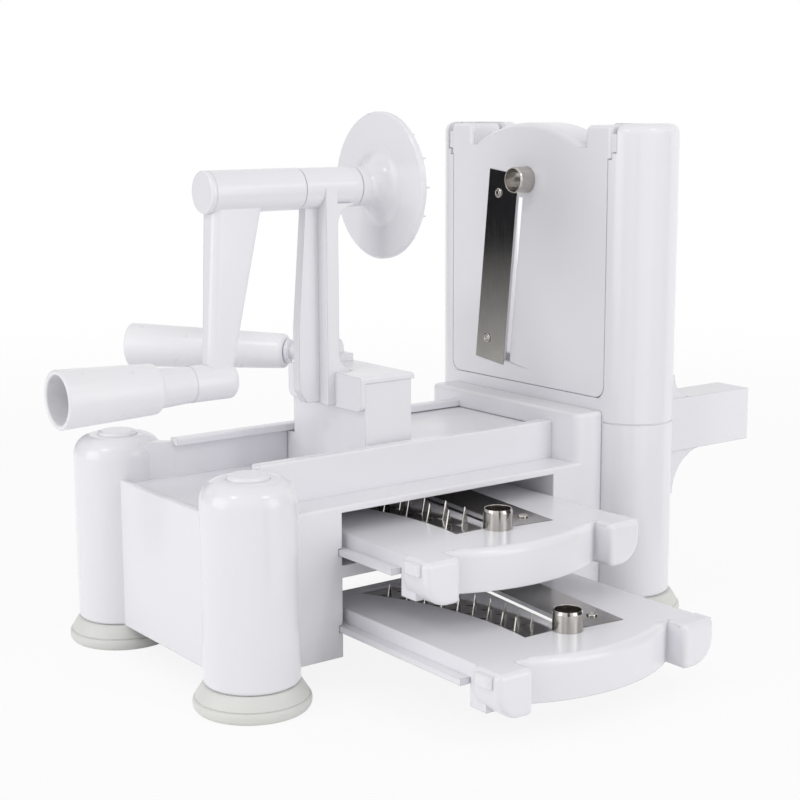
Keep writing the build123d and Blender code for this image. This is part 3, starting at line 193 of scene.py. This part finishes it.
def soft_rubber():
    """Pale warm grey suction rubber, matt, with a cloudy bloom and fine grain."""
    s = Shader("rubber")
    bloom = s.noise(70.0, 4.0)
    grain = s.noise(1100.0, 3.0)
    s.set(Base_Color=s.mix(bloom, RUBBER_LOW, RUBBER_HIGH), Roughness=0.42 + 0.2 * bloom,
          Normal=s.bump(grain, 0.05 * MM, 0.5))
    return s.material


def brushed_steel(name, stretch, dark, bright, shine):
    """Brushed stainless steel: lines drawn out along the axis whose stretch is small, with clouds
    of tone, and a roughness that rises from the shine with the tone."""
    s = Shader(name)
    drawn = s.add("ShaderNodeMapping", {}, Vector=s.place, Scale=stretch, out="Vector")
    lines = s.noise(1500.0, 5.0, drawn)
    cloud = s.noise(160.0, 3.0)
    tone = 0.65 * lines + 0.35 * cloud
    s.set(Base_Color=s.mix(tone, dark, bright), Metallic=1.0, Roughness=shine + 0.14 * tone,
          Normal=s.bump(lines, 0.02 * MM, 0.5))
    return s.material


WHITE = moulded_white()
GRIP_WHITE = handle_white()
RUBBER = soft_rubber()
STEEL_FLAT = brushed_steel("steel_blade_lying", (1.0, 0.04, 1.0), STEEL_DARK, STEEL_BRIGHT, 0.14)
STEEL_UPRIGHT = brushed_steel("steel_blade_upright", (1.0, 1.0, 0.04), STEEL_DARK, STEEL_BRIGHT,
                              0.05)
STEEL_RING = brushed_steel("steel_ring", (1.0, 1.0, 0.05), RING_DARK, RING_BRIGHT, 0.12)
STEEL_ROD = brushed_steel("steel_rod", (0.05, 1.0, 1.0), RING_DARK, RING_BRIGHT, 0.12)

BEGINNINGS = [("suction_foot", RUBBER), ("crank_grip", GRIP_WHITE), ("feed_grip", GRIP_WHITE),
              ("slicing_blade", STEEL_UPRIGHT), ("slicing_coring_ring", STEEL_ROD),
              ("spindle", STEEL_ROD)]
ENDINGS = [("_screws", STEEL_RING), ("_screw", STEEL_RING), ("_blade", STEEL_FLAT),
           ("_comb", STEEL_FLAT), ("_rivets", STEEL_RING), ("_coring_ring", STEEL_RING)]


def finish_of(node):
    """Material of a node: by its beginning, unless it is a screw, then by its ending, otherwise
    white plastic."""
    for beginning, material in BEGINNINGS:
        if node.startswith(beginning) and not node.endswith("_screw"):
            return material
    for ending, material in ENDINGS:
        if node.endswith(ending):
            return material
    return WHITE


for name, node in nodes.items():
    node.data.materials.clear()
    node.data.materials.append(finish_of(name))


# ---------------------------------------------------------------- making a turned piece
CORNER_STEPS = 7                # points on each rounded corner
SIDE_SHARE = 0.49               # most of a side that one corner's rounding may take
MERGE = 0.001 * MM              # vertices this near become one
SHARP = math.radians(40)        # edges beyond this angle stay sharp


def rounded(corners):
    """Outline with soft corners, from rows of radius, height and reach in millimetres: each corner
    becomes the quadratic curve (1-t)^2 a + 2t(1-t) corner + t^2 b between the points a and b that
    lie its reach before and after it. The two ends stay as they are."""
    table = np.array(corners, float)
    points, reach = table[:, :2], table[1:-1, 2]
    here = points[1:-1]
    back = points[:-2] - here
    ahead = points[2:] - here
    length_back = np.linalg.norm(back, axis=1)
    length_ahead = np.linalg.norm(ahead, axis=1)
    taken = np.minimum(reach, SIDE_SHARE * np.minimum(length_back, length_ahead))
    a = here + back * (taken / length_back)[:, None]
    b = here + ahead * (taken / length_ahead)[:, None]
    t = np.linspace(0, 1, CORNER_STEPS)[None, :, None]
    curve = (1 - t) ** 2 * a[:, None] + 2 * t * (1 - t) * here[:, None] + t ** 2 * b[:, None]
    return np.concatenate([points[:1], curve.reshape(-1, 2), points[-1:]])


def turned(profile, segments):
    """Surface of revolution about +Z: the profile's point (r, z) at angle u lies at
    (r cos u, r sin u, z), and each profile edge joins itself at the next angle with one quad."""
    u = np.linspace(0, 2 * np.pi, segments, endpoint=False)
    r, z = profile[:, 0][:, None], profile[:, 1][:, None]
    points = np.stack([r * np.cos(u), r * np.sin(u), z + 0 * u], axis=2).reshape(-1, 3)
    row = np.arange(len(profile) - 1)[:, None] * segments
    column = np.arange(segments)[None]
    ahead = (column + 1) % segments
    quads = np.stack([row + column, row + ahead, row + segments + ahead, row + segments + column],
                     axis=2)
    return points, quads.reshape(-1, 4)


def stood(points, origin, axis):
    """Points turned from +Z to an axis and moved to an origin."""
    turn = np.array(Vector((0, 0, 1)).rotation_difference(Vector(axis)).to_matrix())
    return points @ turn.T + np.array(origin)


def in_scene(name, data):
    """Object of some data, linked into the scene."""
    thing = bpy.data.objects.new(name, data)
    bpy.context.collection.objects.link(thing)
    return thing


def piece(name, parts, material, body, replaced):
    """One mesh from several (points in metres, quads) parts, merged, smooth, riding on a body."""
    starts = np.cumsum([0] + [len(part_points) for part_points, _ in parts])
    points = np.concatenate([part_points for part_points, _ in parts])
    faces = np.concatenate([quads + start for (_, quads), start in zip(parts, starts)])
    mesh = bpy.data.meshes.new(name)
    mesh.from_pydata(points.tolist(), [], faces.tolist())
    work = bmesh.new()
    work.from_mesh(mesh)
    bmesh.ops.remove_doubles(work, verts=work.verts, dist=MERGE)
    bmesh.ops.recalc_face_normals(work, faces=work.faces)
    work.to_mesh(mesh)
    work.free()
    mesh.polygons.foreach_set("use_smooth", np.ones(len(mesh.polygons), bool))
    mesh.set_sharp_from_angle(angle=SHARP)
    mesh.materials.append(material)
    thing = in_scene(name, mesh)
    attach(thing, body)
    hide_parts(replaced)


def span(node):
    """Lowest and highest corner of a CAD node, and its middle, as arrays in metres."""
    low, high = (np.array(corner, float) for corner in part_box(node))
    return low, high, (low + high) / 2


# ---------------------------------------------------------------- feet, caps, grips, rings, rivets
# Outlines as rows of radius, height and the reach of the corner's rounding, in millimetres.
FOOT = [(0, 18.3, 0), (5.95, 18.3, 0.5), (5.95, 11.3, 0.3), (21.4, 11.3, 0.8), (22.6, 9.6, 1.4),
        (24.6, 6.3, 1.0), (24.9, 5.7, 0.4), (24.3, 5.3, 0.4), (25.5, 5.1, 0.5), (26.0, 3.6, 1.0),
        (25.7, 1.4, 1.0), (24.6, 0.0, 0.6), (21.0, 0.0, 0.6), (17.0, 4.0, 3.0), (0, 5.0, 0)]
CAP = [(0, 0.35, 0), (5.2, 0.3, 1.0), (5.7, 0.02, 0.3), (6.2, 0.12, 0.3), (8.0, 0.0, 1.2),
       (9.4, -0.7, 0.9), (9.4, -2.3, 0.1), (5.7, -2.3, 0.1), (5.7, -7.8, 0.3), (0, -7.8, 0)]
RING = [(5.9, 0, 0), (6.7, 0, 0.05), (6.7, 14.6, 0.4), (6.2, 15.9, 0.1), (5.9, 15.7, 0.1),
        (5.9, 0, 0)]
RIVET_HEAD = [(0, 0.0, 0), (1.0, 0.0, 0.15), (1.2, -0.22, 0.1), (1.45, -0.22, 0.1),
              (1.65, 0.0, 0.15), (2.1, 0.0, 0.3), (2.5, -0.35, 0.2), (2.5, -0.9, 0.05),
              (1.55, -0.9, 0.05)]
RIVET_SHANK_R = 1.55
RIVET_END_SOFT = 0.05

# A grip in millimetres: its length, the radii of its root, mouth, bore and pin hole, and how far
# along the pin it starts. The web is the solid end that turns on the pin.
Grip = namedtuple("Grip", "length root_r mouth_r bore_r pin_r start")
CRANK_GRIP = Grip(47.0, 11.4, 13.15, 10.85, 5.05, 0.0)
FEED_GRIP = Grip(84.0, 8.6, 11.2, 7.0, 3.7, 14.0)
WEB = 8.0

# Faces round each piece.
FOOT_SEGMENTS = 128
CAP_SEGMENTS = 96
GRIP_SEGMENTS = 112
RING_SEGMENTS = 112
RIVET_SEGMENTS = 48


def suction_foot(node):
    """Cup with a bulged rim, a groove above it, and a flared collar under the leg."""
    low, _, middle = span(node)
    points, quads = turned(rounded(FOOT) * MM, FOOT_SEGMENTS)
    seat = (middle[0], middle[1], low[2])
    piece("foot_" + node[len("suction_foot_"):], [(stood(points, seat, (0, 0, 1)), quads)],
          RUBBER, body_names[node], node)


def leg_cap(node):
    """Plug with a soft rim and a shallow ring around its middle, level with the CAD plug's top."""
    _, high, middle = span(node)
    outline = rounded(CAP)
    outline[:, 1] = np.minimum(outline[:, 1], 0.0)
    points, quads = turned(outline * MM, CAP_SEGMENTS)
    seat = (middle[0], middle[1], high[2])
    piece("plug_" + node[len("leg_cap_"):], [(stood(points, seat, (0, 0, 1)), quads)],
          WHITE, body_names[node], node)


def hollow_grip(node, joint, grip, away):
    """Tapered tube along its joint's axis, or against it where away is -1: rounded root, thick
    rounded mouth, and a web that runs on the pin. The outline closes inside the pin hole."""
    seam = (grip.pin_r, 0.4 * WEB, 0)
    outline = rounded([seam, (grip.pin_r, 0, 0.3), (grip.root_r, 0, 1.8),
                       (grip.mouth_r, grip.length, 0.9), (grip.bore_r, grip.length, 1.1),
                       (grip.bore_r, WEB, 0.8), (grip.pin_r, WEB, 0.3), seam])
    points, quads = turned(outline * MM, GRIP_SEGMENTS)
    axis = away * np.array(joints[joint]["axis"], float)
    seat = np.array(joints[joint]["pos_m"]) + axis * grip.start * MM
    piece(node + "_tube", [(stood(points, seat, axis), quads)], GRIP_WHITE, body_names[node],
          node)


def coring_ring(node, axis, steel):
    """Thin tube with a ground lip at its cutting end, along its cartridge's face normal."""
    low, high, middle = span(node)
    points, quads = turned(rounded(RING) * MM, RING_SEGMENTS)
    axis = np.array(axis, float)
    root = middle - axis * np.abs(axis @ (high - low)) / 2
    piece(node + "_tube", [(stood(points, root, axis), quads)], steel, body_names[node], node)


def rivets(node, axis):
    """Two flat-headed rivets with a turned groove in each head, where the CAD has them: the
    node's vertices on either side of its middle, along its longest side, are one rivet each."""
    low, high, middle = span(node)
    axis = np.array(axis, float)
    depth = np.abs(axis @ (high - low)) / MM
    shank = [(RIVET_SHANK_R, -depth, RIVET_END_SOFT), (0, -depth, 0)]
    points, quads = turned(rounded(RIVET_HEAD + shank) * MM, RIVET_SEGMENTS)
    corners = np.array([vertex.co for vertex in nodes[node].data.vertices])
    along = np.argmax(high - low)
    beyond = corners[:, along] > middle[along]
    parts = []
    for half in (corners[beyond], corners[~beyond]):
        centre = (half.min(0) + half.max(0)) / 2
        parts.append((stood(points, centre + axis * depth * MM / 2, axis), quads))
    piece(node + "_pair", parts, STEEL_RING, body_names[node], node)


for name in sorted(nodes):
    if name.startswith("suction_foot"):
        suction_foot(name)
    elif name.startswith("leg_cap"):
        leg_cap(name)
hollow_grip("crank_grip", "crank_grip_spin", CRANK_GRIP, -1)
hollow_grip("feed_grip", "feed_grip_spin", FEED_GRIP, 1)
for name, axis, steel in (("slicing", (-1, 0, 0), STEEL_ROD), ("coarse", (0, 0, 1), STEEL_RING),
                          ("fine", (0, 0, 1), STEEL_RING)):
    coring_ring(name + "_coring_ring", axis, steel)
    rivets(name + "_rivets", axis)


# ---------------------------------------------------------------- camera
# The camera's place in metres, the directions of its view and of its right side, and its lens
# and sensor width in millimetres.
CAMERA = Vector((-0.469491, -0.610088, 0.256256))
LOOK = Vector((0.58742, 0.78918, -0.17927))
RIGHT = Vector((0.80178, -0.59760, -0.00351))
LENS = 73.18
SENSOR = 36.0
NEAREST = 0.01


def camera():
    """Camera at the photograph's viewing angle."""
    data = bpy.data.cameras.new("camera")
    data.sensor_fit = "HORIZONTAL"
    data.sensor_width = SENSOR
    data.lens = LENS
    data.clip_start = NEAREST
    shooter = in_scene("camera", data)
    turn = Matrix((RIGHT, RIGHT.cross(LOOK), -LOOK)).transposed()
    shooter.matrix_world = Matrix.Translation(CAMERA) @ turn.to_4x4()
    bpy.context.scene.camera = shooter


# ---------------------------------------------------------------- world, floor, cards and lamps
ROOM_LIGHT = 0.62                       # strength of the light that falls on the object
ROOM_TINT = (1, 1, 1, 1)
FLOOR_COLOUR = (0.88, 0.88, 0.885, 1)
FLOOR_ROUGHNESS = 0.6
FLOOR_GLOW = 0.88                       # share of plain white where the floor is seen
GLOW_COLOUR = (1, 1, 1, 1)
FLOOR_R = 1.6
FLOOR_SIDES = 96
FADE_START = 0.45                       # distances between which the floor fades to nothing
FADE_END = 1.3
CARD_PALE = (0.95, 0.95, 0.95, 1)
CARD_BLACK = (0.016, 0.016, 0.022, 1)
CARD_ROUGHNESS = 0.9
AIM = Vector((0, 0, 0.1))               # middle of the object, where the lamps point

# Name, azimuth and elevation in degrees, distance and size in metres, and power in watts.
LAMPS = [("left_low", 168, 12, 1.5, 1.0, 6.2), ("left_high", 190, 48, 1.6, 0.2, 2.0),
         ("right_low", 292, 12, 1.5, 1.0, 5.5), ("right_high", 285, 48, 1.6, 0.2, 2.0)]


def seen_directly(graph):
    """1 for the rays that show the background: from the camera, a reflection or through glass."""
    seen = graph.add("ShaderNodeLightPath", {}, out="Is Camera Ray")
    rays = seen.out.node.outputs
    for kind in ("Is Glossy Ray", "Is Transmission Ray"):
        seen = seen.math("MAXIMUM", Sock(graph, rays[kind]))
    return seen


def world():
    """Even light all round, which the camera and reflections see as white."""
    room = bpy.data.worlds.new("room")
    bpy.context.scene.world = room
    room.use_nodes = True
    graph = Graph(room.node_tree)
    level = seen_directly(graph) * (1.0 - ROOM_LIGHT) + ROOM_LIGHT
    back = graph.tree.nodes["Background"]
    graph.link(ROOM_TINT, back.inputs["Color"])
    graph.link(level, back.inputs["Strength"])


def floor():
    """Pale round floor that keeps the soft shadow and fades into the white background."""
    angle = np.linspace(0, 2 * np.pi, FLOOR_SIDES, endpoint=False)
    rim = np.stack([FLOOR_R * np.cos(angle), FLOOR_R * np.sin(angle), 0 * angle], 1)
    mesh = bpy.data.meshes.new("floor")
    mesh.from_pydata(rim.tolist(), [], [list(range(FLOOR_SIDES))])
    thing = in_scene("floor", mesh)
    s = Shader("floor")
    s.set(Base_Color=FLOOR_COLOUR, Roughness=FLOOR_ROUGHNESS)
    glow = s.add("ShaderNodeEmission", {}, GLOW_COLOUR, 1.0)
    matt = Sock(s, s.skin.outputs[0])
    lit = s.add("ShaderNodeMixShader", {}, seen_directly(s) * FLOOR_GLOW, matt, glow)
    away = s.add("ShaderNodeVectorMath", {"operation": "LENGTH"}, s.place, out="Value")
    fade = s.add("ShaderNodeMapRange", {"interpolation_type": "SMOOTHSTEP"}, away, FADE_START,
                 FADE_END)
    clear = s.add("ShaderNodeBsdfTransparent", {})
    both = s.add("ShaderNodeMixShader", {}, fade, lit, clear)
    s.link(both, s.tree.nodes["Material Output"].inputs["Surface"])
    mesh.materials.append(s.material)


def dark_card(name, centre, azimuth, away, width, low, high, fade):
    """Upright black card at a distance from a centre, which only gloss and metal see: its colour
    goes from pale to black over the fade's height above its lower edge."""
    turn = math.radians(azimuth)
    middle = np.array([math.cos(turn), math.sin(turn)]) * away + centre
    side = np.array([-math.sin(turn), math.cos(turn)]) * width / 2
    corners = [(*(middle + sign * side), z)
               for sign, z in ((-1, low), (1, low), (1, high), (-1, high))]
    mesh = bpy.data.meshes.new(name)
    mesh.from_pydata(corners, [], [(0, 1, 2, 3)])
    card = in_scene(name, mesh)
    s = Shader(name)
    height = s.add("ShaderNodeSeparateXYZ", {}, s.place, out="Z")
    black = s.add("ShaderNodeMapRange", {}, height, low, low + fade)
    s.set(Base_Color=s.mix(black, CARD_PALE, CARD_BLACK), Roughness=CARD_ROUGHNESS)
    mesh.materials.append(s.material)
    card.visible_camera = False
    card.visible_diffuse = False
    card.visible_transmission = False
    card.visible_shadow = False


def lamp(name, azimuth, elevation, distance, size, power):
    """Square soft box on a sphere about the object, azimuth from +X and elevation in degrees."""
    data = bpy.data.lights.new(name, "AREA")
    data.size = size
    data.energy = power
    holder = in_scene(name, data)
    turn, rise = math.radians(azimuth), math.radians(elevation)
    out = Vector((math.cos(turn) * math.cos(rise), math.sin(turn) * math.cos(rise),
                  math.sin(rise)))
    holder.location = AIM + distance * out
    holder.rotation_euler = out.to_track_quat("Z", "Y").to_euler()


camera()
world()
floor()
ring_place = (span("coarse_coring_ring")[2] + span("fine_coring_ring")[2])[:2] / 2
dark_card("card_left", (0, 0), azimuth=117, away=0.6, width=0.9, low=0.02, high=0.6, fade=0.115)
dark_card("card_front", ring_place, azimuth=240, away=0.17, width=0.05, low=0.0, high=0.3,
          fade=0.01)
dark_card("card_right", ring_place, azimuth=325, away=0.22, width=0.22, low=0.0, high=0.3,
          fade=0.01)
for values in LAMPS:
    lamp(*values)

bpy.context.scene.view_settings.view_transform = "Standard"
